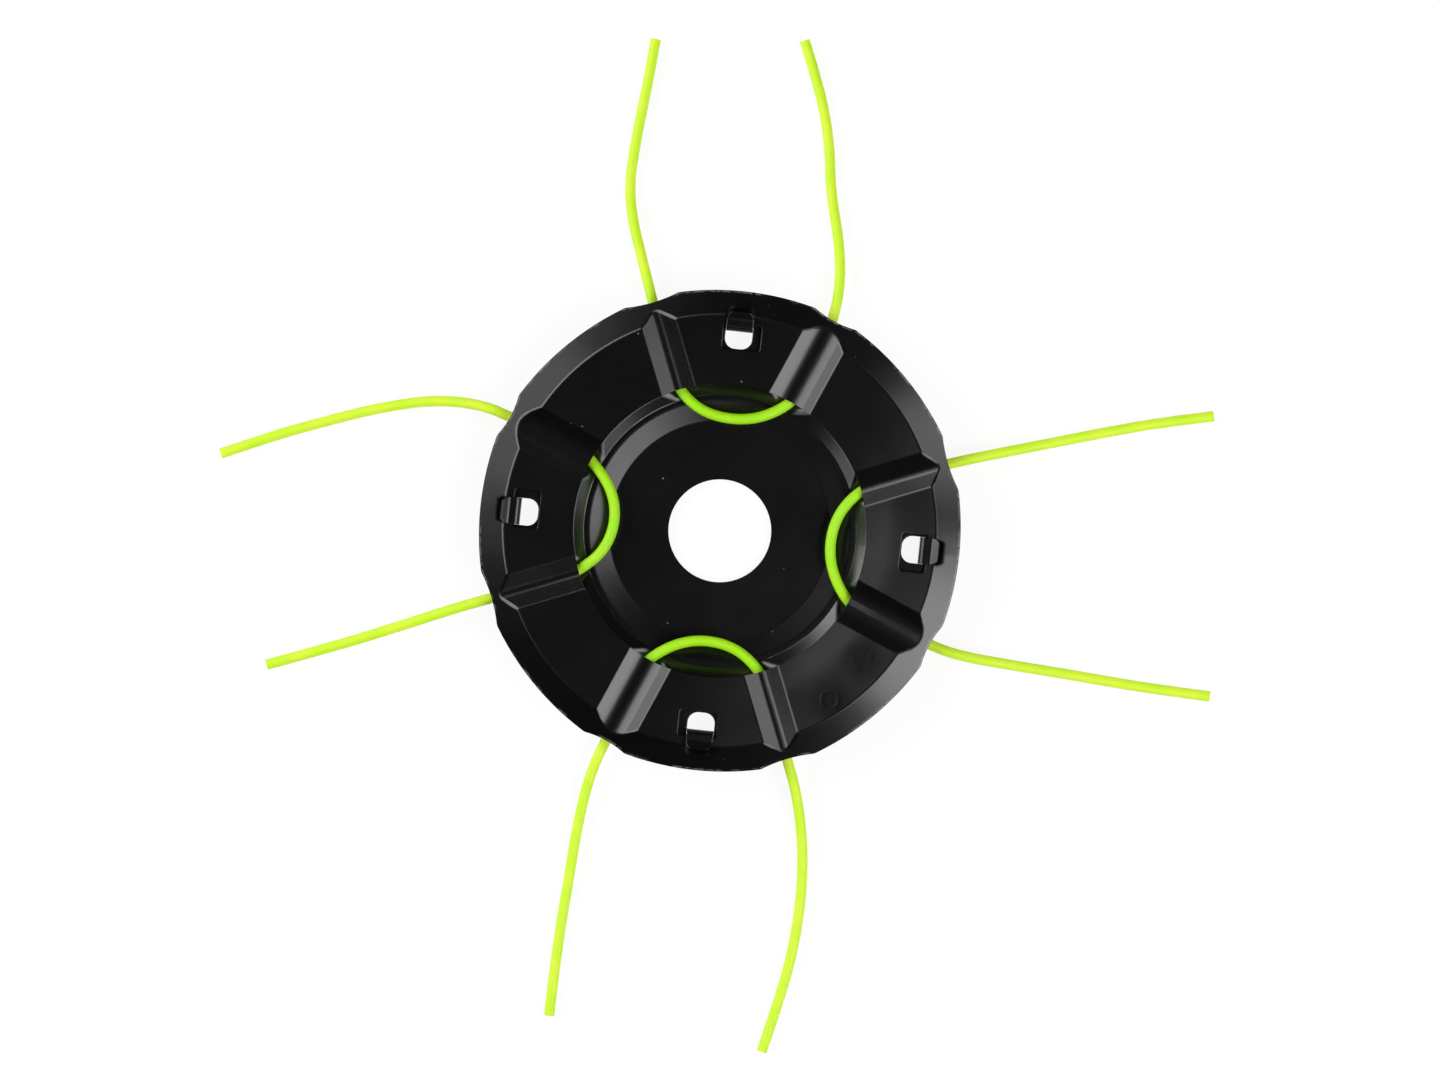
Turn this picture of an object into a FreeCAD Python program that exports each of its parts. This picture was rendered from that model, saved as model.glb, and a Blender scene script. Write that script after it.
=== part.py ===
import FreeCAD, Part
import math
import os

os.makedirs("parts", exist_ok=True)

# Two pressed steel plates lie face to face and are held together by four tabs of the base plate,
# folded over the cover. Eight radial channels, half in each plate, lead four nylon lines outwards.
# The axis of rotation is Z, the cover plate is uppermost, and Z = 0 is where the head stands on
# the rim of its base plate. The radii follow from the outline inwards, width by width.

# Both plates
sheet = 1.2             # steel thickness
press_r = 1.2           # inside radius of the pressed corners
disc_r = 59.0           # outline, halfway between two scallops
outline_ease = 11.0     # the outline's arcs have this much more radius: they are flatter
rim_width = 5.3         # flared rim, from its foot to the outline
rim_angle = 33.0        # its slope, degrees

# Channels, half in each plate, two for each line: a wide one with a rounded crown, clockwise of the
# line's loop, and a narrow one with a sharper crown, anticlockwise of it
line_count = 4
channel_rise = 1.85     # crowns above the flat
wide_width = 11.4       # between the feet of the flanks
wide_crown_r = 8.0      # outside radius of the crown
narrow_width = 8.7
narrow_crown_r = 2.6

# Scallops: pressing a channel has drawn the edge inwards at its end
wide_scallop_depth = 0.5
wide_scallop_r = 24.0
narrow_scallop_depth = 0.65
narrow_scallop_r = 39.0
scallop_corner_r = 2.5

# Tabs, lanced from the base plate and folded over the cover
tab_count = 4
tab_width = 6.6
tab_inset = 4.5         # inner face of the upright stem, from the foot of the rim
tab_tip = 2.05          # length of the flap beyond its bend at the foot of the rim
flap_clear = 0.9        # from that bend to the corner of the rim
tab_bend_r = 0.2        # inside radius of the other bends
tab_offset = 0.45       # anticlockwise of the middle between two channels
tab_corner_r = 2.6
tab_length = 5.65       # of the hole that it leaves, inwards from its root
lance_gap = 0.04        # on each side of the tab, in the base plate

# Cover plate
slot_width = 9.4
slot_length = 5.9       # inwards from the root of the tab
slot_back = 0.5         # outwards from it
slot_corner_r = 0.8
slot_clear = 0.6        # between the tab and the slot's near side
web_width = 8.6         # between the slots and the window

# Base plate
bore_r = 12.7           # 25.4 mm arbor
dish_lip = 0.4          # the dish leaves the flat this far outside the window
shoulder_width = 2.9    # of the dish's steep side, seen from above
ledge_r = 0.4           # inside radius between that side and the ledge
ledge_step = 0.1        # the grooves run out this far above the ledge
ledge_flat = 0.9        # of the ledge, between its bends
cone_width = 5.0        # between the ledge and the flat floor
cone_slope = 13.5       # degrees

# Lines
line_d = 2.6
seat_gap = 0.15         # between a line and the groove that it lies in
loop_lift = 0.4         # of the loops, above the face where the plates meet

# Working values of the cutting bodies
deep = 5.0              # how far they run past the sheet
bar_end_skip = 0.5      # corners this near a channel body's buried end stay sharp
probe = 0.05            # step off an edge to see whether it is an inside corner
tiny = 0.001


def rise(length, angle):
    return length * math.tan(math.radians(angle))


# All shapes are made about the face where the plates meet, and raised at the end
channel_step = 180.0 / line_count
channels = ((-channel_step / 2, wide_width, wide_crown_r), (channel_step / 2, narrow_width, narrow_crown_r))
scallops = ((-channel_step / 2, wide_scallop_depth, wide_scallop_r),
            (channel_step / 2, narrow_scallop_depth, narrow_scallop_r))
rim_start_r = disc_r - rim_width
tab_face_r = rim_start_r - tab_inset
tab_root_r = tab_face_r + sheet + tab_bend_r
flap_bend_r = rim_start_r - sheet * math.tan(math.radians(rim_angle / 2)) - flap_clear
window_r = tab_root_r - slot_length - web_width
dish_top_r = window_r + dish_lip
ledge_out_r = dish_top_r - shoulder_width
ledge_drop = channel_rise + ledge_step
shoulder_slope = math.degrees(math.atan2(ledge_drop, shoulder_width))
bends_width = rise(ledge_r, shoulder_slope / 2) + rise(press_r + sheet, cone_slope / 2)
ledge_in_r = ledge_out_r - ledge_flat - bends_width
floor_r = ledge_in_r - cone_width
dish_drop = ledge_drop + rise(cone_width, cone_slope)
bar_start_r = (floor_r + ledge_in_r) / 2    # the channels' bodies start inside the dish's cone

line_r = line_d / 2


def flank_angle(width, crown_r):
    """Slope of a channel's flanks, which touch the crown's arc and end at the feet."""
    half, fall = width / 2, channel_rise - crown_r
    return math.atan2(fall, half) + math.asin(crown_r / math.hypot(fall, half))


def seat_height(width, crown_r):
    """Height of a line's middle where it lies on a groove's flanks, or at its bottom."""
    seat_r, groove_r = line_r + seat_gap, crown_r - sheet
    on_flanks = groove_r - channel_rise + (seat_r - groove_r) / math.cos(flank_angle(width, crown_r))
    return max(on_flanks, seat_r - channel_rise)


def vec(x, y, z=0.0):
    return FreeCAD.Vector(x, y, z)


# Points (r, z) of the flared rim, on the face that touches the other plate, from its foot to
# beyond the outline
past_r = disc_r + deep
rim_points = [vec(rim_start_r, 0, 0), vec(past_r, 0, rise(past_r - rim_start_r, rim_angle))]
seat_z = max(seat_height(width, crown_r) for first, width, crown_r in channels)


def turned(shape, angle):
    copy = shape.copy()
    copy.rotate(vec(0, 0), vec(0, 0, 1), angle)
    return copy


def around(shape, count, first=0.0):
    return [turned(shape, first + 360.0 / count * i) for i in range(count)]


def smooth_edges(points, radii):
    """Straight runs through the points, each corner rounded by a tangent arc of its radius."""
    edges, start = [], points[0]
    for before, corner, after, radius in zip(points, points[1:], points[2:], radii[1:]):
        back, ahead = (before - corner).normalize(), (after - corner).normalize()
        half_turn = (math.pi - back.getAngle(ahead)) / 2
        if radius <= 0 or half_turn < 1e-4:
            edges.append(Part.LineSegment(start, corner).toShape())
            start = corner
            continue
        reach = radius * math.tan(half_turn)
        first, last = corner + back * reach, corner + ahead * reach
        inward = (back + ahead).normalize()
        middle = corner + inward * (radius / math.cos(half_turn) - radius)
        if (first - start).Length > 1e-5:
            edges.append(Part.LineSegment(start, first).toShape())
        edges.append(Part.Arc(first, middle, last).toShape())
        start = last
    edges.append(Part.LineSegment(start, points[-1]).toShape())
    return edges


def offset_points(points, distance):
    """The same run of (r, z) points, moved sideways by the distance, with mitred corners."""
    normals = []
    for a, b in zip(points, points[1:]):
        along = (b - a).normalize()
        normals.append(vec(-along.z, 0, along.x))
    moved = [points[0] + normals[0] * distance]
    for point, n1, n2 in zip(points[1:-1], normals, normals[1:]):
        moved.append(point + (n1 + n2) * (distance / (1 + n1.dot(n2))))
    moved.append(points[-1] + normals[-1] * distance)
    return moved


def turned_body(points, radii, bottom):
    """Solid of revolution under a run of (r, z) points that starts at the axis."""
    end = points[-1]
    edges = smooth_edges(points, radii)
    edges += Part.makePolygon([end, vec(end.x, 0, bottom), vec(0, 0, bottom), points[0]]).Edges
    face = Part.Face(Part.Wire(Part.__sortEdges__(edges)))
    return face.revolve(vec(0, 0), vec(0, 0, 1), 360)


def channel_bodies(flat_z, wall):
    """Bars with the channels' roofs, one along each channel, that reach below the flat. The wall
    is how far their roofs lie inside the plate's outer face: nothing, or the sheet's thickness."""
    inner, low, bars = bar_start_r, -channel_rise, []
    for first, width, crown_r in channels:
        angle = flank_angle(width, crown_r)
        half, radius = width / 2 - wall * math.tan(angle / 2), crown_r - wall
        top_z = flat_z + channel_rise
        touch_y, touch_z = radius * math.sin(angle), top_z - radius * (1 - math.cos(angle))
        roof = Part.Arc(vec(inner, -touch_y, touch_z), vec(inner, 0, top_z),
                        vec(inner, touch_y, touch_z)).toShape()
        rest = Part.makePolygon([vec(inner, touch_y, touch_z), vec(inner, half, flat_z),
                                 vec(inner, half, low), vec(inner, -half, low),
                                 vec(inner, -half, flat_z), vec(inner, -touch_y, touch_z)]).Edges
        face = Part.Face(Part.Wire([roof] + rest))
        bars += around(face.extrude(vec(disc_r - inner, 0)), line_count, first)
    return bars


def hollow_edges(solid):
    """Edges where two faces meet in an inside corner."""
    found = []
    for edge in solid.Edges:
        faces = solid.ancestorsOfType(edge, Part.Face)
        if len(faces) != 2:
            continue
        point = edge.valueAt((edge.FirstParameter + edge.LastParameter) / 2)
        if math.hypot(point.x, point.y) < bar_start_r + bar_end_skip:
            continue
        one, two = (face.normalAt(*face.Surface.parameter(point)) for face in faces)
        apart = one - two
        if apart.Length > 0.05 and solid.isInside(point + apart.normalize() * probe, 1e-6, False):
            found.append(edge)
    return found


def pressed_body(points, radii, channel, bottom, corner_r):
    """Everything under one face of a pressed plate, its inside corners rounded together."""
    body = turned_body(points, radii, bottom).fuse(channel).removeSplitter().Solids[0]
    return body.makeFillet(corner_r, hollow_edges(body))


def pressed_plate(points, lower_radii, upper_radii):
    """Plate with its channels pressed upwards, its flat lying on Z = 0. The points run along its
    lower face, from the axis outwards, and the radii round their corners on its two faces."""
    outer = pressed_body(offset_points(points, sheet), upper_radii, channel_bodies(sheet, 0), -deep, press_r)
    inner = pressed_body(points, lower_radii, channel_bodies(0, sheet), -2 * deep, press_r + sheet)
    return outer.cut(inner)


def outline_body():
    """Upright body with the outline of both plates: a flat arc between each two scallops."""
    body = Part.makeCylinder(past_r, 8 * deep, vec(0, 0, -4 * deep))
    sector = Part.makeCylinder(disc_r + outline_ease, 8 * deep, vec(-outline_ease, 0, -4 * deep))
    for arc in around(sector, 2 * line_count):
        body = body.common(arc)
    for first, depth, radius in scallops:
        scallop = Part.makeCylinder(radius, 8 * deep, vec(disc_r - depth + radius, 0, -4 * deep))
        body = body.cut(around(scallop, line_count, first))
    corners = [e for e in body.Edges if e.BoundBox.XLength < tiny and e.BoundBox.YLength < tiny]
    return body.makeFillet(scallop_corner_r, corners)


def rounded_box(x0, x1, y0, y1, z0, z1, inner_r, outer_r):
    """Box whose upright corners are rounded: inner_r towards the axis, outer_r away from it."""
    box = Part.makeBox(x1 - x0, y1 - y0, z1 - z0, vec(x0, y0, z0))
    for at, radius in ((x0, inner_r), (x1, outer_r)):
        corners = [e for e in box.Edges if abs(e.BoundBox.XMin - at) < tiny and e.BoundBox.XLength < tiny
                   and e.BoundBox.YLength < tiny]
        if radius > 0:
            box = box.makeFillet(radius, corners)
    return box


def cover_plate():
    radii = [0, 0, 0]
    plate = pressed_plate([vec(0, 0, 0)] + rim_points, radii, radii)
    plate = plate.common(outline_body()).cut(Part.makeCylinder(window_r, 8 * deep, vec(0, 0, -4 * deep)))
    near = tab_offset + tab_width / 2 + slot_clear
    slot = rounded_box(tab_root_r - slot_length, tab_root_r + slot_back, near - slot_width, near,
                       -deep, deep, slot_corner_r, slot_corner_r)
    return plate.cut(around(slot, tab_count))


def tab():
    """Strip that stands up through its slot and is folded outwards, up to the foot of the rim."""
    stem_r = tab_face_r + sheet
    run = [vec(tab_root_r + sheet, 0, 0), vec(stem_r, 0, 0), vec(stem_r, 0, sheet),
           vec(flap_bend_r, 0, sheet), vec(flap_bend_r + tab_tip, 0, sheet + rise(tab_tip, rim_angle))]
    outer = offset_points(run, sheet)
    near = smooth_edges(run, [0, tab_bend_r, tab_bend_r, press_r + sheet, 0])
    far = smooth_edges(outer, [0, tab_bend_r + sheet, tab_bend_r + sheet, press_r, 0])
    ends = [Part.makeLine(run[0], outer[0]), Part.makeLine(run[-1], outer[-1])]
    strip = Part.Face(Part.Wire(Part.__sortEdges__(near + far + ends))).extrude(vec(0, tab_width))
    strip.translate(vec(0, tab_offset - tab_width / 2))
    plan = rounded_box(tab_face_r - deep, run[-1].x, tab_offset - tab_width / 2, tab_offset + tab_width / 2,
                       -deep, deep, 0, tab_corner_r)
    return strip.common(plan)


def base_plate():
    dish = [vec(0, 0, dish_drop), vec(floor_r, 0, dish_drop), vec(ledge_in_r, 0, ledge_drop),
            vec(ledge_out_r, 0, ledge_drop), vec(dish_top_r, 0, 0)]
    hollow, bulge = press_r, press_r + sheet
    plate = pressed_plate(dish + rim_points, [0, hollow, bulge, ledge_r, 0, 0, 0],
                          [0, bulge, hollow, ledge_r + sheet, 0, 0, 0])
    plate = plate.mirror(vec(0, 0), vec(0, 0, 1))
    plate = plate.common(outline_body()).cut(Part.makeCylinder(bore_r, 8 * deep, vec(0, 0, -4 * deep)))
    side = tab_width / 2 + lance_gap
    hole = rounded_box(tab_root_r - tab_length, tab_root_r, tab_offset - side, tab_offset + side,
                       -deep, deep, tab_corner_r, 0)
    plate = plate.cut(around(hole, tab_count))
    return plate.fuse(around(tab(), tab_count)).removeSplitter()


# Each line runs from one cut tip to the other, by hand-chosen points. In its two channels they are
# given as the distance out from the window's edge, the distance from the channel's middle, away
# from the loop's side, and the height, from the seat in the groove (0) to where the plates meet (1).
in_wide = [(-2.1, -0.8, 1.0), (1.9, 0.8, 1.0), (5.9, 1.4, 0.95), (12.5, 0.7, 0.45), (21.2, 0.0, 0.0)]
in_narrow = [(-2.1, -1.2, 1.0), (1.9, 0.0, 1.0), (5.9, 0.5, 0.95), (12.5, 0.3, 0.45), (21.2, 0.0, 0.0)]

# For each line: the angle of its loop, the loop's points on one side as degrees from its middle and
# the distance in from the window's edge, and the tails of its clockwise and anticlockwise channels.
# A tail's points are the distance out from the outline, the distance anticlockwise of the channel,
# and the height, from lying on the ground (0) to the seat in the groove (1).
lines = {
    "line_right": (0, [(5.8, 8.5), (15.0, 6.1)],
                   [(6.7, 0.9, 0.85), (20.0, 5.3, 0.3), (35.1, 10.6, 0.0), (51.3, 16.0, 0.0),
                    (66.8, 22.0, 0.0)],
                   [(9.4, -0.8, 0.8), (24.0, -2.2, 0.25), (39.6, -3.6, 0.0), (53.7, -5.2, 0.0),
                    (66.0, -7.3, 0.0)]),
    "line_top": (90, [(5.8, 8.2), (15.0, 6.0)],
                 [(7.6, 2.5, 0.82), (16.9, 7.6, 0.3), (27.9, 16.2, 0.0), (38.4, 22.2, 0.0),
                  (48.7, 30.5, 0.0), (57.3, 39.5, 0.0)],
                 [(9.0, -0.5, 0.81), (21.2, -1.0, 0.3), (30.6, -3.1, 0.0), (42.3, -8.9, 0.0),
                  (52.9, -14.6, 0.0), (61.9, -19.1, 0.0)]),
    "line_left": (180, [(4.2, 9.9), (11.7, 8.5), (17.7, 5.6)],
                  [(6.8, 0.6, 0.86), (17.9, 5.0, 0.35), (29.5, 13.6, 0.0), (40.5, 23.8, 0.0),
                   (49.8, 32.9, 0.0), (58.3, 42.2, 0.0)],
                  [(9.7, -0.1, 0.8), (23.9, 0.3, 0.25), (40.8, 0.5, 0.0), (57.7, 0.1, 0.0)]),
    "line_bottom": (270, [(5.8, 8.6), (15.1, 6.2)],
                    [(8.4, 0.5, 0.82), (20.7, 3.6, 0.25), (34.9, 8.6, 0.0), (51.0, 14.1, 0.0),
                     (66.3, 20.3, 0.0)],
                    [(8.6, -0.1, 0.82), (21.3, -2.2, 0.25), (34.1, -6.4, 0.0), (46.3, -12.3, 0.0),
                     (57.0, -19.1, 0.0), (67.3, -26.4, 0.0)]),
}


def at_angle(out, side, z, angle):
    """Point at a distance out along a direction, and beside it anticlockwise."""
    turn = math.radians(angle)
    return vec(out * math.cos(turn) - side * math.sin(turn), out * math.sin(turn) + side * math.cos(turn), z)


def line_points(angle, loop, before, after, stand):
    """Corner points of a whole line, from the tip in its clockwise channel to the other."""
    half_step, ground = channel_step / 2, line_r - stand
    halves = []
    for way, inside, tail in ((-1, in_wide, before), (1, in_narrow, after)):
        channel = angle + way * half_step
        points = [at_angle(window_r - inward, 0, loop_lift, angle + way * degrees)
                  for degrees, inward in loop]
        points += [at_angle(window_r + out, way * side, seat_z * (1 - up), channel)
                   for out, side, up in inside]
        points += [at_angle(disc_r + out, side, ground + (seat_z - ground) * up, channel)
                   for out, side, up in tail]
        halves.append(points)
    return halves[0][::-1] + halves[1]


def line_solid(name, points):
    """Round section swept along straight runs joined by tangent arcs."""
    runs = [(b - a).Length for a, b in zip(points, points[1:])]
    radii = [0]
    for before, corner, after, one, two in zip(points, points[1:], points[2:], runs, runs[1:]):
        half_turn = (math.pi - (before - corner).getAngle(after - corner)) / 2
        radii.append(0.45 * min(one, two) / math.tan(half_turn))
    path = Part.Wire(smooth_edges(points, radii + [0]))
    ring = Part.makeCircle(line_r, points[0], points[1] - points[0])
    solid = path.makePipeShell([Part.Wire(ring)], True, False)
    print(name, "length", round(path.Length, 1), "volume by section x length",
          round(solid.Volume / (math.pi * line_r ** 2 * path.Length), 4),
          "radii", [round(r, 1) for r in radii[1:]], "runs", [round(r, 1) for r in runs])
    return solid


solids = {"cover_plate": cover_plate(), "base_plate": base_plate()}
stand = -solids["base_plate"].optimalBoundingBox(False).ZMin
for name, (angle, loop, before, after) in lines.items():
    solids[name] = line_solid(name, line_points(angle, loop, before, after, stand))

for name, solid in solids.items():
    solid.translate(vec(0, 0, stand))
    box = solid.optimalBoundingBox(False)
    print(name, "valid", solid.isValid(), "solids", len(solid.Solids), "faces", len(solid.Faces),
          "volume", round(solid.Volume, 1), "z", round(box.ZMin, 3), round(box.ZMax, 3))
    solid.exportStep("parts/" + name + ".step")
print("plates meet at", round(stand, 3), "floor top", round(stand - dish_drop, 3),
      "line seat", round(stand + seat_z, 3), "window", round(window_r, 3))
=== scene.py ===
import math
import bpy
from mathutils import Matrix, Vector


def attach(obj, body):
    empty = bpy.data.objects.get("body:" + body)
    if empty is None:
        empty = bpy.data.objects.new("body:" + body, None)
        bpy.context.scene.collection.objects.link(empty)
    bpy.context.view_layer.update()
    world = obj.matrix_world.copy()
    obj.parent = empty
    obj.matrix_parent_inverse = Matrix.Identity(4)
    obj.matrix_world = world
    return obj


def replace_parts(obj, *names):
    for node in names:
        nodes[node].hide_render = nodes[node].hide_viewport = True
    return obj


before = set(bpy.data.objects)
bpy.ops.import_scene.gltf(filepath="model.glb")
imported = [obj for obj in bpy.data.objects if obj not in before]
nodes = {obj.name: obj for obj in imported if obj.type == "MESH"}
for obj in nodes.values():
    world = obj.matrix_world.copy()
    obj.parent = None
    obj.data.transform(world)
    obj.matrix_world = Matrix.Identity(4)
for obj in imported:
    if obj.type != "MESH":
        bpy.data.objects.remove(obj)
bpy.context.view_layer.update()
mm = 0.001
print("frame loaded:", len(nodes), "nodes")

# One socket of a material or of the world, so that shader maths reads as plain Python
class Value:
    def __init__(self, shader, socket):
        self.shader, self.socket = shader, socket

    def maths(self, operation, first, second=0.0):
        return self.shader.node("ShaderNodeMath", {"operation": operation}, {0: first, 1: second})

    def __add__(self, other): return self.maths("ADD", self, other)
    def __radd__(self, other): return self.maths("ADD", other, self)
    def __sub__(self, other): return self.maths("SUBTRACT", self, other)
    def __rsub__(self, other): return self.maths("SUBTRACT", other, self)
    def __mul__(self, other): return self.maths("MULTIPLY", self, other)
    def __rmul__(self, other): return self.maths("MULTIPLY", other, self)
    def __pow__(self, other): return self.maths("POWER", self, other)
    def __gt__(self, other): return self.maths("GREATER_THAN", self, other)
    def __lt__(self, other): return self.maths("LESS_THAN", self, other)
    def __abs__(self): return self.maths("ABSOLUTE", self)

    def least(self, other): return self.maths("MINIMUM", self, other)

    def ramp(self, low, high):  # 0 at low, 1 at high, smooth between them
        smooth = {"interpolation_type": "SMOOTHSTEP", "clamp": True}
        return self.shader.node("ShaderNodeMapRange", smooth,
                                {"Value": self, "From Min": low, "From Max": high})


class Shader:
    def __init__(self, owner):   # a material, or the world
        owner.use_nodes = True
        self.owner, self.tree = owner, owner.node_tree
        self.tree.nodes.clear()

    def node(self, kind, settings=None, inputs=None, output=0):
        made = self.tree.nodes.new(kind)
        for name, value in (settings or {}).items():
            setattr(made, name, value)
        for name, value in (inputs or {}).items():
            if isinstance(value, Value):
                self.tree.links.new(value.socket, made.inputs[name])
            else:
                made.inputs[name].default_value = value
        return None if output is None else Value(self, made.outputs[output])

    def colour(self, mask, first, second):
        ends = {6: first, 7: second}
        return self.node("ShaderNodeMix", {"data_type": "RGBA"}, {0: mask, **ends}, output=2)

    def place(self):  # the row frame's coordinates, in metres
        return self.node("ShaderNodeTexCoord", output="Object")

    def noise(self, place, size, detail=3.0, roughness=0.5):  # size of a blotch, in metres
        return self.node("ShaderNodeTexNoise", {}, {
            "Vector": place, "Scale": 1 / size, "Detail": detail, "Roughness": roughness})

    def vector(self, operation, first, second, output=0):
        return self.node("ShaderNodeVectorMath", {"operation": operation}, {0: first, 1: second}, output)

    def bevel(self, radius):  # a normal that rounds sharp edges
        return self.node("ShaderNodeBevel", {"samples": paint["samples"]}, {"Radius": radius})

    def bump(self, height, strength, distance, normal=None):
        under = {} if normal is None else {"Normal": normal}
        return self.node("ShaderNodeBump", {}, {
            "Height": height, "Strength": strength, "Distance": distance, **under})

    def radius(self, place):  # away from the bore's axis
        x, y = self.parts(place)[:2]
        return (x * x + y * y) ** 0.5

    def parts(self, vector):
        split = self.tree.nodes.new("ShaderNodeSeparateXYZ")
        self.tree.links.new(vector.socket, split.inputs[0])
        return [Value(self, out) for out in split.outputs]

    def finish(self, surface, end="ShaderNodeOutputMaterial"):
        self.node(end, {}, {"Surface": surface}, output=None)
        return self.owner


# Camera, straight above the head, and turned a little as in the photograph
camera = {"height": 1.1, "across": 0.3562, "x": 0.29 * mm, "y": -2.25 * mm, "turn": 6.1,
          "sensor": 36.0, "near": 0.01, "far": 20}


def makeCamera(values):
    data = bpy.data.cameras.new("camera")
    data.sensor_width = values["sensor"]
    data.lens = values["sensor"] * values["height"] / values["across"]
    data.clip_start, data.clip_end = values["near"], values["far"]
    made = bpy.data.objects.new("camera", data)
    made.location = (values["x"], values["y"], values["height"])
    made.rotation_euler = (0, 0, math.radians(values["turn"]))
    bpy.context.scene.collection.objects.link(made)
    bpy.context.scene.camera = made


makeCamera(camera)
print("camera made")

# The lines: each is held by two channels, loops across the window and ends in two loose tails.
# Lengths are in millimetres and angles in degrees.
plan = {"outline": 59.0, "window": 36.1, "halfStep": 22.5,
        "meetZ": 5.129, "loopZ": 5.529, "seatZ": 4.734}   # where the plates meet, the loops and the seats
lineLook = {"diameter": 2.6, "sides": 10, "smooth": 12}
# Points in a wide and in a narrow channel: outwards from the window, to the side, and the height as a
# share, from 0 in the channel's seat to 1 where the plates meet
inWide = [(-2.1, -0.8, 1.0), (1.9, 0.8, 1.0), (5.9, 1.4, 0.95), (12.5, 0.7, 0.45), (21.2, 0.0, 0.0)]
inNarrow = [(-2.1, -1.2, 1.0), (1.9, 0.0, 1.0), (5.9, 0.5, 0.95), (12.5, 0.3, 0.45), (21.2, 0.0, 0.0)]
# A line's angle, the loop as angle and distance in from the window, and the points of both tails:
# outwards from the outline, to the side, and the height from 0 on the ground to 1 at the seat
lines = {
    "line_right": (0, [(5.8, 8.5), (15.0, 6.1)],
                   [(6.7, 0.9, 0.85), (20.0, 5.3, 0.3), (35.1, 10.6, 0.0), (51.3, 16.0, 0.0),
                    (66.8, 22.0, 0.0)],
                   [(9.4, -0.8, 0.8), (24.0, -2.2, 0.25), (39.6, -3.6, 0.0), (53.7, -5.2, 0.0),
                    (66.0, -7.3, 0.0)]),
    "line_top": (90, [(5.8, 8.2), (15.0, 6.0)],
                 [(7.6, 2.5, 0.82), (16.9, 7.6, 0.3), (27.9, 16.2, 0.0), (38.4, 22.2, 0.0),
                  (48.7, 30.5, 0.0), (57.3, 39.5, 0.0)],
                 [(9.0, -0.5, 0.81), (21.2, -1.0, 0.3), (30.6, -3.1, 0.0), (42.3, -8.9, 0.0),
                  (52.9, -14.6, 0.0), (61.9, -19.1, 0.0)]),
    "line_left": (180, [(4.2, 9.9), (11.7, 8.5), (17.7, 5.6)],
                  [(6.8, 0.6, 0.86), (17.9, 5.0, 0.35), (29.5, 13.6, 0.0), (40.5, 23.8, 0.0),
                   (49.8, 32.9, 0.0), (58.3, 42.2, 0.0)],
                  [(9.7, -0.1, 0.8), (23.9, 0.3, 0.25), (40.8, 0.5, 0.0), (57.7, 0.1, 0.0)]),
    "line_bottom": (270, [(5.8, 8.6), (15.1, 6.2)],
                    [(8.4, 0.5, 0.82), (20.7, 3.6, 0.25), (34.9, 8.6, 0.0), (51.0, 14.1, 0.0),
                     (66.3, 20.3, 0.0)],
                    [(8.6, -0.1, 0.82), (21.3, -2.2, 0.25), (34.1, -6.4, 0.0), (46.3, -12.3, 0.0),
                     (57.0, -19.1, 0.0), (67.3, -26.4, 0.0)]),
}


def atAngle(out, side, z, angle):
    turn = math.radians(angle)
    return Vector((out * math.cos(turn) - side * math.sin(turn),
                   out * math.sin(turn) + side * math.cos(turn), z)) * mm


def linePoints(angle, loop, tails):
    seat, meet, ground = plan["seatZ"], plan["meetZ"], lineLook["diameter"] / 2
    halves = []
    for way, inside, tail in zip((-1, 1), (inWide, inNarrow), tails):
        channel = angle + way * plan["halfStep"]
        held = [atAngle(plan["window"] - inward, 0, plan["loopZ"], angle + way * turn)
                for turn, inward in loop]
        held += [atAngle(plan["window"] + out, way * side, meet + (seat - meet) * (1 - up), channel)
                 for out, side, up in inside]
        loose = [atAngle(plan["outline"] + out, side, ground + (seat - ground) * up, channel)
                 for out, side, up in tail]
        halves.append((held, loose))
    return halves


def makeLine(name, points, material):
    curve = bpy.data.curves.new(name, "CURVE")
    curve.dimensions = "3D"
    curve.bevel_depth = lineLook["diameter"] / 2 * mm
    curve.bevel_resolution = lineLook["sides"]
    curve.use_fill_caps = True
    spline = curve.splines.new("NURBS")
    spline.points.add(len(points) - 1)
    for target, point in zip(spline.points, points):
        target.co = (*point, 1)
    spline.order_u = 3
    spline.use_endpoint_u = True
    spline.resolution_u = lineLook["smooth"]
    curve.materials.append(material)
    made = bpy.data.objects.new(name, curve)
    bpy.context.scene.collection.objects.link(made)
    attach(made, "root")
    return made


def splineLength(points, steps=16):
    # of the curve that the points give: it passes through the middles of the runs
    middles = [points[0]] + [(a + b) / 2 for a, b in zip(points[1:], points[2:-1])] + [points[-1]]
    total = 0
    for start, corner, end in zip(middles, points[1:-1], middles[1:]):
        shares = [step / steps for step in range(steps + 1)]
        walk = [start.lerp(corner, share).lerp(corner.lerp(end, share), share) for share in shares]
        total += sum((b - a).length for a, b in zip(walk, walk[1:]))
    return total


# The nylon: one line with painted light and shade, greener and darker in the loops as painted shade inside
# the black head, yellower and paler and a little glowing in the tails as painted light from the white
# floor
nylon = {
    "deep": (0.42, 1.0, 0.002), "deepPale": (0.49, 1.0, 0.006),      # the loops, darker and greener: painted shade
    "loose": (0.62, 0.97, 0.02), "litTailPale": (0.72, 0.97, 0.04),    # the tails, paler and yellower: painted light from the white floor
    "loopsEnd": 40 * mm, "tailsStart": 60 * mm,
    # A painted glow: the nylon is given an emission of its own colour, full in the tails and cut to a
    # share in the loops, standing in for its fluorescence and for the light the tails pick up from the
    # floor
    "paintedGlow": 0.18, "paintedGlowInLoops": 0.45, "scatter": 0.6, "reach": (1.0, 1.0, 0.3), "depth": 1.5 * mm,
    "roughness": 0.42, "rougher": 0.16, "ior": 1.53,
    "blotch": 7 * mm, "grain": 0.35 * mm, "grainHeight": 0.02 * mm, "grainStrength": 0.3,
}


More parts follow.
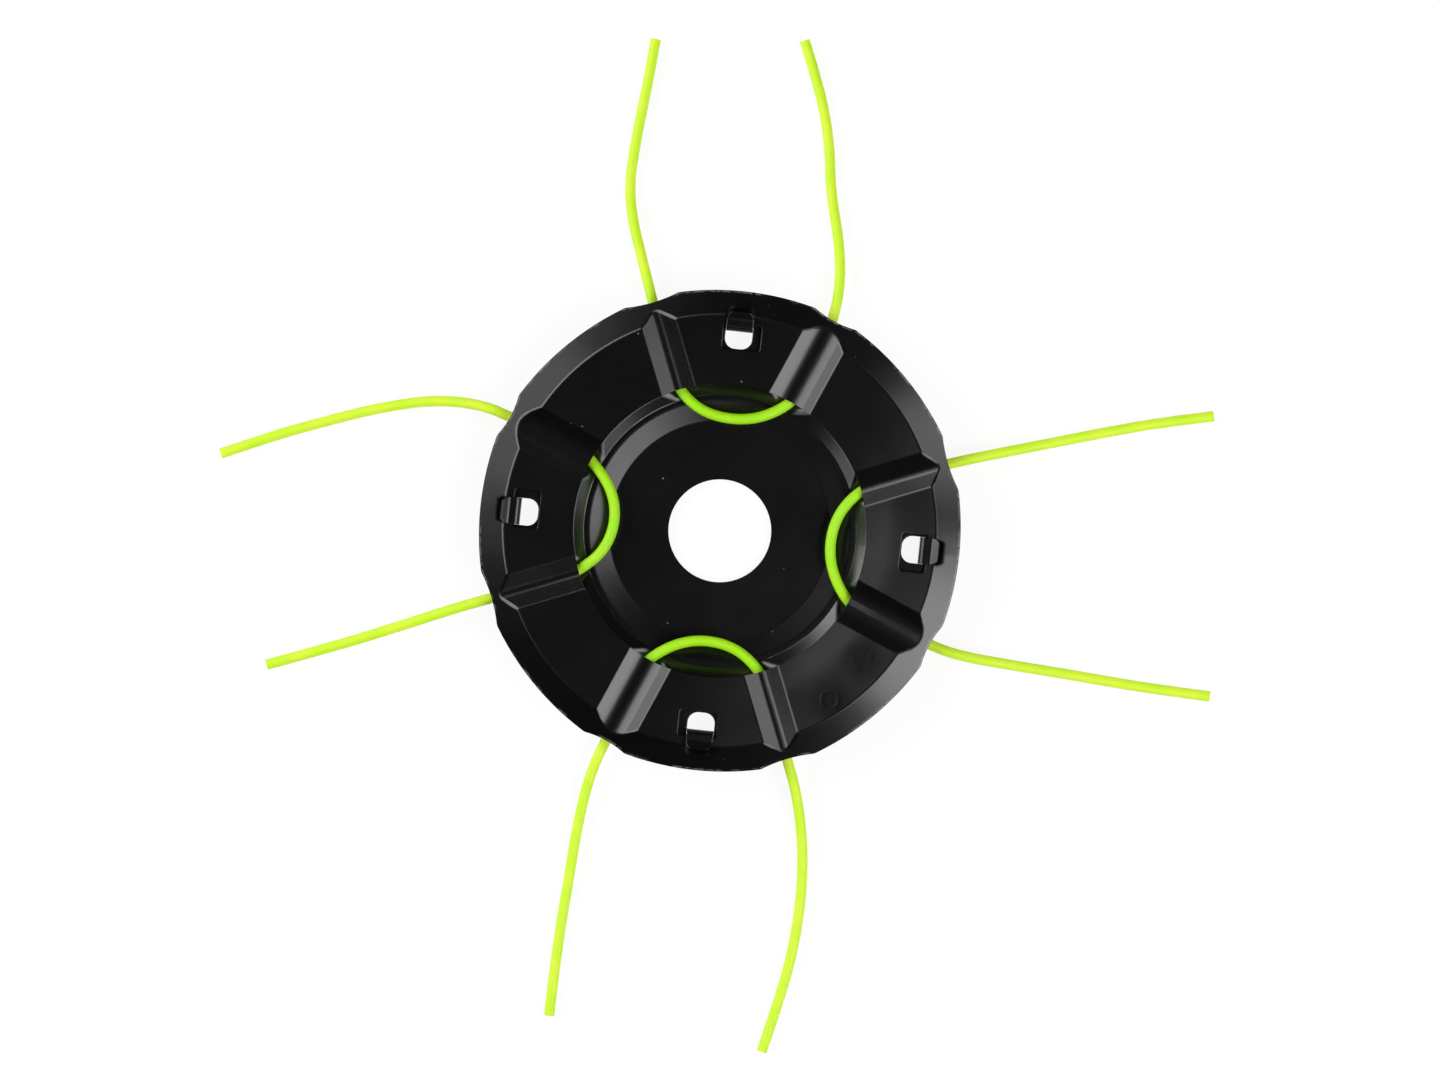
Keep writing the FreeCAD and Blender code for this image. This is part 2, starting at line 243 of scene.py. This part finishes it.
def makeNylon(values):
    shader = Shader(bpy.data.materials.new("nylonLine"))
    place = shader.place()
    # 0 in the loops and 1 in the tails: where the painted shade of the loops turns into the painted light
    #                                    of the tails
    paintedLightShare = shader.radius(place).ramp(values["loopsEnd"], values["tailsStart"])
    blotch = shader.noise(place, values["blotch"], 2).ramp(0.35, 0.65)
    grain = shader.noise(place, values["grain"], 4, 0.6)
    # the loops' colour is darker as painted shade, the tails' colour paler and yellower as painted light;
    # the blotches are the nylon's own uneven tone
    held = shader.colour(blotch, (*values["deep"], 1), (*values["deepPale"], 1))
    loose = shader.colour(blotch, (*values["loose"], 1), (*values["litTailPale"], 1))
    colour = shader.colour(paintedLightShare, held, loose)
    # painted glow: the emission colour, a share of it in the loops and all of it in the tails
    paintedGlow = shader.colour(values["paintedGlowInLoops"] + (1 - values["paintedGlowInLoops"]) * paintedLightShare, (0, 0, 0, 1), colour)
    bump = shader.bump(grain, values["grainStrength"], values["grainHeight"])
    surface = shader.node("ShaderNodeBsdfPrincipled", {}, {
        "Base Color": colour, "Roughness": values["roughness"] + values["rougher"] * grain,
        "Subsurface Weight": values["scatter"], "Subsurface Radius": values["reach"],
        "Subsurface Scale": values["depth"], "IOR": values["ior"], "Normal": bump,
        "Emission Color": paintedGlow, "Emission Strength": values["paintedGlow"]})
    return shader.finish(surface)


def makeLines():
    material = makeNylon(nylon)
    for name, (angle, loop, before, after) in lines.items():
        halves = linePoints(angle, loop, (before, after))
        ends = []
        for (held, loose), side in zip(halves, ("a", "b")):
            seam = (held[-2] + held[-1]) / 2   # deep in the channel, on the curve itself
            tailPoints = [seam, held[-1]] + loose
            tail = makeLine(name + "_tail_" + side, tailPoints, material)
            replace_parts(tail, name)
            channel = angle + (plan["halfStep"] if side == "b" else -plan["halfStep"])
            tuple(atAngle(plan["outline"], 0, plan["seatZ"], channel))
            splineLength(tailPoints)
            ends.append(held[:-1] + [seam])
        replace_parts(makeLine(name + "_held", ends[0][::-1] + ends[1], material), name)
    print("lines made:", len(lines))


makeLines()

# Black paint on pressed steel. Colours are grey levels with a tint, and sizes are in metres.
paint = {
    "black": 0.0014, "haze": 0.0028, "hazeTint": (1, 1, 1.05), "blackTint": (1, 1, 1.04),
    "roughness": 0.235, "rougher": 0.04, "ior": 1.68,
    "cloud": 22 * mm, "fine": 0.5 * mm, "peel": 1.6 * mm, "peelHeight": 0.012 * mm, "peelStrength": 0.5,
    "wave": 17 * mm, "waveHeight": 0.14 * mm, "edgeRadius": 0.1 * mm, "slotEdge": 0.4 * mm, "samples": 6,
}
dust = {"level": 0.3, "tint": (1, 1, 0.93), "cell": 2.2 * mm, "patch": 2.9 * mm, "speck": 0.11,
        "cover": 0.8, "rougher": 0.3}
rubs = {"length": 7 * mm, "turn": 0.6, "thin": 9}   # short faint strokes where something has slid over
wear = {"rim": (56.8 * mm, 57.4 * mm), "chip": 1.5 * mm, "steel": 0.42, "steelTint": (1, 0.95, 0.86),
        "edge": (57 * mm, 57.6 * mm), "width": 0.8 * mm, "stretch": 9 * mm, "break": 1.1 * mm,
        "bare": 0.3, "bareTint": (1, 1.03, 0.85)}
slots = {"across": 8 * mm, "from": (44 * mm, 45 * mm), "to": (55 * mm, 56 * mm)}   # round the four slots
bow = {"towards": -23, "from": 12 * mm, "to": 36 * mm, "slope": 0.09,   # the cover's flats sag at one side
       "outer": (40 * mm, 46 * mm), "less": 0.45}
# Rings that the press has left: x, y and radius in millimetres
pressMarks = [(38.2, -27.9, 2.3), (31.4, -38.5, 2.1)]
markLook = {"line": 0.8 * mm, "depth": 4.5, "patch": 4 * mm, "flat": 0.3, "from": 1.5 * mm, "to": 6.5 * mm}


def grey(level, tint=(1, 1, 1)):
    return tuple(level * share for share in tint) + (1,)


def dustOver(shader, place, values):   # a few of many small cells, each with its own size
    cells = shader.node("ShaderNodeTexVoronoi", {"feature": "F1"},
                        {"Vector": place, "Scale": 1 / values["cell"]})
    pick = shader.noise(place, values["patch"], 1).ramp(0.66, 0.72)
    return (values["speck"] - cells).ramp(0.0, 0.05) * pick


def rubsOver(shader, place, values):
    stroke = shader.node("ShaderNodeMapping", {}, {
        "Vector": place, "Rotation": (0, 0, values["turn"]), "Scale": (1, values["thin"], 1)})
    return shader.noise(stroke, values["length"], 5, 0.75).ramp(0.66, 0.8)


def wearOver(shader, place, radius, normal, side, values):
    # chips on the cut edge of the sheet, where the paint is thin
    chips = shader.noise(place, values["chip"], 4, 0.7).ramp(0.6, 0.66)
    chips = chips * (side.ramp(0.55, 0.85) * radius.ramp(*values["rim"]))
    # the rim's outer edge, rubbed through in stretches
    turned = 1 - shader.vector("DOT_PRODUCT", shader.bevel(values["width"]), normal, "Value")
    worn = turned.ramp(0.004, 0.02) * (1 - turned.ramp(0.1, 0.2)) * radius.ramp(*values["edge"])
    worn = worn * shader.noise(place, values["stretch"], 2).ramp(0.44, 0.54)
    worn = worn * shader.noise(place, values["break"], 3).ramp(0.4, 0.5)
    return chips, worn


def edgesOf(shader, x, y, radius, values):   # softer round the slots than elsewhere
    atSlot = (abs(x).least(abs(y)) < slots["across"]) * radius.ramp(*slots["from"])
    atSlot = atSlot * (1 - radius.ramp(*slots["to"]))
    ends = {4: shader.bevel(values["edgeRadius"]), 5: shader.bevel(values["slotEdge"])}
    return shader.node("ShaderNodeMix", {"data_type": "VECTOR"}, {0: atSlot, **ends}, 1)


def makePaint(name, values, marks, slope):
    shader = Shader(bpy.data.materials.new(name))
    place = shader.place()
    x, y = shader.parts(place)[:2]
    radius = shader.radius(place)
    normal = shader.node("ShaderNodeNewGeometry", output="True Normal")
    side = 1 - abs(shader.parts(normal)[2])   # 0 on a flat, 1 on an upright face
    cloud = shader.noise(place, values["cloud"], 4, 0.55).ramp(0.3, 0.7)
    fine = shader.noise(place, values["fine"], 3, 0.6)
    peel = shader.noise(place, values["peel"], 2, 0.4)
    specks = dustOver(shader, place, dust)
    chips, worn = wearOver(shader, place, radius, normal, side, wear)

    haze = 0.4 * cloud + 0.3 * fine + 0.3 * rubsOver(shader, place, rubs)
    colour = shader.colour(haze, grey(values["black"], values["blackTint"]),
                           grey(values["haze"], values["hazeTint"]))
    colour = shader.colour(specks * dust["cover"], colour, grey(dust["level"], dust["tint"]))
    colour = shader.colour(chips, colour, grey(wear["steel"], wear["steelTint"]))
    colour = shader.colour(worn, colour, grey(wear["bare"], wear["bareTint"]))
    rough = values["roughness"] + values["rougher"] * (0.6 * cloud + 0.4 * fine) + dust["rougher"] * specks

    height = 0.6 * peel + 0.12 * fine + 0.5 * specks - 0.8 * chips
    sag = (1 - bow["less"] * radius.ramp(*bow["outer"])) * (1 - side.ramp(0.002, 0.01)) * slope
    for markX, markY, markR in marks:
        away = ((x - markX * mm) ** 2.0 + (y - markY * mm) ** 2.0) ** 0.5
        ring = 1 - abs(away - markR * mm).ramp(0.0, markLook["line"])
        patch = shader.noise(place, markLook["patch"], 1).ramp(0.4, 0.55)
        height = height - markLook["depth"] * ring * patch
        press = away.ramp(markLook["from"], markLook["to"])   # flatter round the mark
        sag = sag * (markLook["flat"] + (1 - markLook["flat"]) * press)

    turn = math.radians(bow["towards"])
    lean = (x * math.cos(turn) + y * math.sin(turn)).ramp(bow["from"], bow["to"]) * sag
    tilt = shader.node("ShaderNodeCombineXYZ", {}, {0: lean * math.cos(turn), 1: lean * math.sin(turn)})
    leaning = shader.vector("ADD", edgesOf(shader, x, y, radius, values), tilt)
    leaning = shader.vector("NORMALIZE", leaning, (0, 0, 0))
    wavy = shader.bump(shader.noise(place, values["wave"], 1), 1.0, values["waveHeight"], leaning)
    bump = shader.bump(height, values["peelStrength"], values["peelHeight"], wavy)
    surface = shader.node("ShaderNodeBsdfPrincipled", {}, {
        "Base Color": colour, "Metallic": chips, "Roughness": rough, "IOR": values["ior"], "Normal": bump})
    return shader.finish(surface)


def paintPlates():
    for name, marks, slope in (("cover_plate", pressMarks, bow["slope"]), ("base_plate", [], 0.0)):
        material = makePaint(name + "Paint", paint, marks, slope)
        plate = nodes[name]
        plate.data.materials.clear()
        plate.data.materials.append(material)
    print("plates painted")


paintPlates()

# Light: two softboxes, two weaker lights beside them and a dark room with a pale backdrop. The
# directions are degrees from straight up and round from +X, and the sizes are in metres.
softboxes = {
    "softboxRight": {"up": 35, "round": -23, "away": 0.9, "wide": 0.87, "high": 0.48, "watts": 4.4},
    "softboxLeft": {"up": 57, "round": 159, "away": 0.9, "wide": 0.58, "high": 0.74, "watts": 5.2},
    "fillRight": {"up": 58, "round": -25, "away": 0.9, "wide": 0.6, "high": 0.52, "watts": 1.0},
    "fillLeft": {"up": 53, "round": 209, "away": 0.9, "wide": 0.36, "high": 0.42, "watts": 1.1},
}
room = {"paper": 0.86, "seen": 0.14, "lift": 0.9, "grain": 2 * mm, "grainDepth": 0.01, "roughness": 0.9,
        "gloss": 0.1, "walls": 0.01, "backdrop": (0.04, 0.24), "size": 6.0}
rayKinds = ("Is Camera Ray", "Is Glossy Ray", "Is Transmission Ray")


def makeSoftbox(name, values):
    data = bpy.data.lights.new(name, "AREA")
    data.shape = "RECTANGLE"
    data.size, data.size_y = values["wide"], values["high"]
    data.energy = values["watts"]
    made = bpy.data.objects.new(name, data)
    up, turn = math.radians(values["up"]), math.radians(values["round"])
    way = Vector((math.sin(up) * math.cos(turn), math.sin(up) * math.sin(turn), math.cos(up)))
    made.location = way * values["away"]
    made.rotation_euler = way.to_track_quat("Z", "Y").to_euler()
    made.visible_camera = False
    bpy.context.scene.collection.objects.link(made)


def makeRoom(values):
    half = values["size"] / 2
    corners = [(-half, -half, 0), (half, -half, 0), (half, half, 0), (-half, half, 0)]
    mesh = bpy.data.meshes.new("floor")
    mesh.from_pydata(corners, [], [(0, 1, 2, 3)])
    floor = bpy.data.objects.new("floor", mesh)
    bpy.context.scene.collection.objects.link(floor)
    shader = Shader(bpy.data.materials.new("floorPaper"))
    grain = shader.noise(shader.place(), values["grain"], 3)
    camera, glossy, through = [shader.node("ShaderNodeLightPath", output=kind) for kind in rayKinds]
    seen = camera + glossy + through > 0.5
    tone = values["paper"] - (values["paper"] - values["seen"]) * seen - values["grainDepth"] * grain
    pale = shader.node("ShaderNodeCombineColor", {}, {0: tone, 1: tone, 2: tone})
    lift = shader.node("ShaderNodeCombineColor", {}, {0: seen, 1: seen, 2: seen})
    mesh.materials.append(shader.finish(shader.node("ShaderNodeBsdfPrincipled", {}, {
        "Base Color": pale, "Roughness": values["roughness"], "Specular IOR Level": values["gloss"],
        "Emission Color": lift, "Emission Strength": values["lift"]})))
    # the camera sees the backdrop everywhere, metal and nylon only where it stands, low down
    shader = Shader(bpy.data.worlds.new("room"))
    camera, glossy, through = [shader.node("ShaderNodeLightPath", output=kind) for kind in rayKinds]
    height = shader.parts(shader.node("ShaderNodeTexCoord", output="Generated"))[2]
    low = 1 - height.ramp(*values["backdrop"])
    pale = camera + (1 - camera) * (glossy + through) * low
    walls = shader.colour(pale, grey(values["walls"]), grey(1))
    surface = shader.node("ShaderNodeBackground", {}, {"Color": walls})
    bpy.context.scene.world = shader.finish(surface, "ShaderNodeOutputWorld")


for lampName, lampValues in softboxes.items():
    makeSoftbox(lampName, lampValues)
makeRoom(room)
bpy.context.scene.view_settings.view_transform = "Standard"
print("light and room made")
